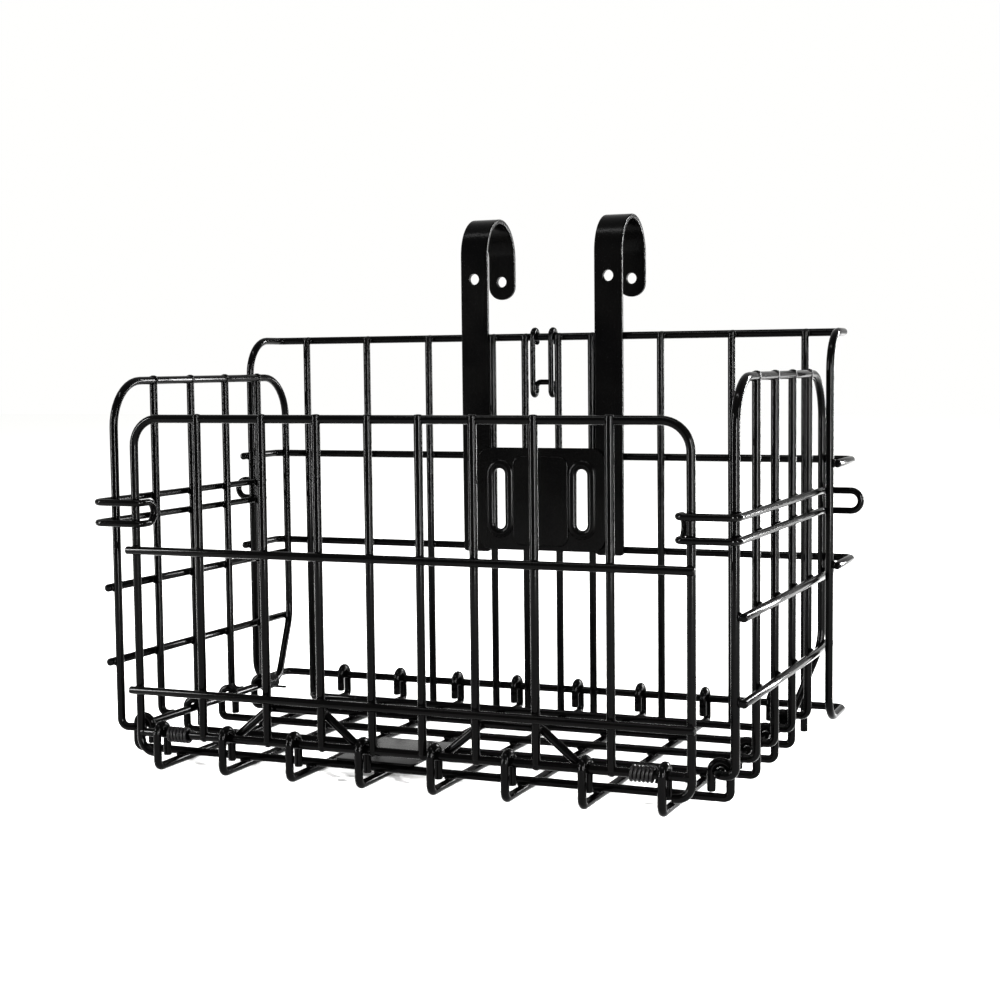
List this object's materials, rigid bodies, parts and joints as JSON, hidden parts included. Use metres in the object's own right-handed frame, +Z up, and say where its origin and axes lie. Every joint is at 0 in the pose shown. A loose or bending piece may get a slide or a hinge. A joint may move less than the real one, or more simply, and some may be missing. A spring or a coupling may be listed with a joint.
{
  "type": "folding wire handlebar basket",
  "caption": "Folding open-top basket of coated wire that hangs in front of a handlebar on two flat hook straps; its front and sides fold in flat.",
  "frame": {"origin": "on the ground, below the middle of the bounding box", "axes": "+X to the right seen from the front, along the basket's width; +Y from the front panel to the back panel and handlebar; +Z up"},
  "size_m": [0.4098, 0.2626, 0.312],
  "materials": {
    "back_frame": "gloss black powder coat",
    "back_upright_1": "gloss black powder coat",
    "back_upright_2": "gloss black powder coat",
    "back_upright_3": "gloss black powder coat",
    "back_upright_4": "gloss black powder coat",
    "back_upright_5": "gloss black powder coat",
    "back_upright_6": "gloss black powder coat",
    "back_upright_7": "gloss black powder coat",
    "back_upright_8": "gloss black powder coat",
    "back_upright_9": "gloss black powder coat",
    "back_upright_10": "gloss black powder coat",
    "lower_back_rail": "gloss black powder coat",
    "upper_back_rail": "gloss black powder coat",
    "left_handlebar_strap": "gloss black powder coat",
    "right_handlebar_strap": "gloss black powder coat",
    "mounting_plate": "gloss black powder coat",
    "folding_catch": "gloss black powder coat",
    "floor_wire_1": "gloss black powder coat",
    "floor_wire_2": "gloss black powder coat",
    "floor_wire_3": "gloss black powder coat",
    "floor_wire_4": "gloss black powder coat",
    "floor_wire_5": "gloss black powder coat",
    "floor_wire_6": "gloss black powder coat",
    "floor_wire_7": "gloss black powder coat",
    "floor_wire_8": "gloss black powder coat",
    "floor_cross_wire_1": "gloss black powder coat",
    "floor_cross_wire_2": "gloss black powder coat",
    "floor_cross_wire_3": "gloss black powder coat",
    "floor_cross_wire_4": "gloss black powder coat",
    "floor_cross_wire_5": "gloss black powder coat",
    "floor_plate": "gloss black powder coat",
    "left_front_spring": "black oxide with oil",
    "right_front_spring": "black oxide with oil",
    "left_side_spring": "black oxide with oil",
    "right_side_spring": "black oxide with oil",
    "front_frame": "gloss black powder coat",
    "front_grid": "gloss black powder coat",
    "left_front_arch": "gloss black powder coat",
    "right_front_arch": "gloss black powder coat",
    "left_side_frame": "gloss black powder coat",
    "left_side_upright_1": "gloss black powder coat",
    "left_side_upright_2": "gloss black powder coat",
    "left_side_upright_3": "gloss black powder coat",
    "left_side_upright_4": "gloss black powder coat",
    "left_side_lower_rail": "gloss black powder coat",
    "left_side_upper_rail": "gloss black powder coat",
    "left_latch_wire": "gloss black powder coat",
    "right_side_frame": "gloss black powder coat",
    "right_side_upright_1": "gloss black powder coat",
    "right_side_upright_2": "gloss black powder coat",
    "right_side_upright_3": "gloss black powder coat",
    "right_side_upright_4": "gloss black powder coat",
    "right_side_lower_rail": "gloss black powder coat",
    "right_side_upper_rail": "gloss black powder coat",
    "right_latch_wire": "gloss black powder coat"
  },
  "bodies": {
    "back": {"back_frame": "back_frame", "back_upright_1": "back_upright_1", "back_upright_2": "back_upright_2", "back_upright_3": "back_upright_3", "back_upright_4": "back_upright_4", "back_upright_5": "back_upright_5", "back_upright_6": "back_upright_6", "back_upright_7": "back_upright_7", "back_upright_8": "back_upright_8", "back_upright_9": "back_upright_9", "back_upright_10": "back_upright_10", "lower_back_rail": "lower_back_rail", "upper_back_rail": "upper_back_rail", "left_handlebar_strap": "left_handlebar_strap", "right_handlebar_strap": "right_handlebar_strap", "mounting_plate": "mounting_plate"},
    "catch": {"folding_catch": "folding_catch"},
    "floor": {"floor_wire_1": "floor_wire_1", "floor_wire_2": "floor_wire_2", "floor_wire_3": "floor_wire_3", "floor_wire_4": "floor_wire_4", "floor_wire_5": "floor_wire_5", "floor_wire_6": "floor_wire_6", "floor_wire_7": "floor_wire_7", "floor_wire_8": "floor_wire_8", "floor_cross_wire_1": "floor_cross_wire_1", "floor_cross_wire_2": "floor_cross_wire_2", "floor_cross_wire_3": "floor_cross_wire_3", "floor_cross_wire_4": "floor_cross_wire_4", "floor_cross_wire_5": "floor_cross_wire_5", "floor_plate": "floor_plate", "left_front_spring": "left_front_spring", "right_front_spring": "right_front_spring", "left_side_spring": "left_side_spring", "right_side_spring": "right_side_spring"},
    "front": {"front_frame": "front_frame", "front_grid": "front_grid", "left_front_arch": "left_front_arch", "right_front_arch": "right_front_arch"},
    "left_side": {"left_side_frame": "left_side_frame", "left_side_upright_1": "left_side_upright_1", "left_side_upright_2": "left_side_upright_2", "left_side_upright_3": "left_side_upright_3", "left_side_upright_4": "left_side_upright_4", "left_side_lower_rail": "left_side_lower_rail", "left_side_upper_rail": "left_side_upper_rail", "left_latch_wire": "left_latch_wire"},
    "right_side": {"right_side_frame": "right_side_frame", "right_side_upright_1": "right_side_upright_1", "right_side_upright_2": "right_side_upright_2", "right_side_upright_3": "right_side_upright_3", "right_side_upright_4": "right_side_upright_4", "right_side_lower_rail": "right_side_lower_rail", "right_side_upper_rail": "right_side_upper_rail", "right_latch_wire": "right_latch_wire"}
  },
  "joints": [
    {"name": "floor_fold", "type": "hinge", "parent": "back", "child": "floor", "pos_m": [0, 0.0898, 0.0165], "axis": [-1, 0, 0], "range_deg": [0, 2], "deforming": ["left_latch_wire", "right_latch_wire"]},
    {"name": "front_fold", "type": "hinge", "parent": "floor", "child": "front", "pos_m": [0, -0.1242, 0.02], "axis": [-1, 0, 0], "range_deg": [0, 90], "stiffness_Nm_per_rad": 0.15, "springref_deg": -85.94, "deforming": ["left_front_spring", "right_front_spring", "left_latch_wire", "right_latch_wire"]},
    {"name": "left_side_fold", "type": "hinge", "parent": "floor", "child": "left_side", "pos_m": [-0.1675, 0, 0.02], "axis": [0, 1, 0], "range_deg": [0, 90], "stiffness_Nm_per_rad": 0.15, "springref_deg": -85.94, "deforming": ["left_side_spring", "left_latch_wire"]},
    {"name": "right_side_fold", "type": "hinge", "parent": "floor", "child": "right_side", "pos_m": [0.1675, 0, 0.02], "axis": [0, -1, 0], "range_deg": [0, 86], "stiffness_Nm_per_rad": 0.15, "springref_deg": -85.94, "deforming": ["right_side_spring", "right_latch_wire"]},
    {"name": "catch_swing", "type": "hinge", "parent": "back", "child": "catch", "pos_m": [0, 0.0898, 0.237], "axis": [-1, 0, 0], "range_deg": [0, 100]}
  ]
}
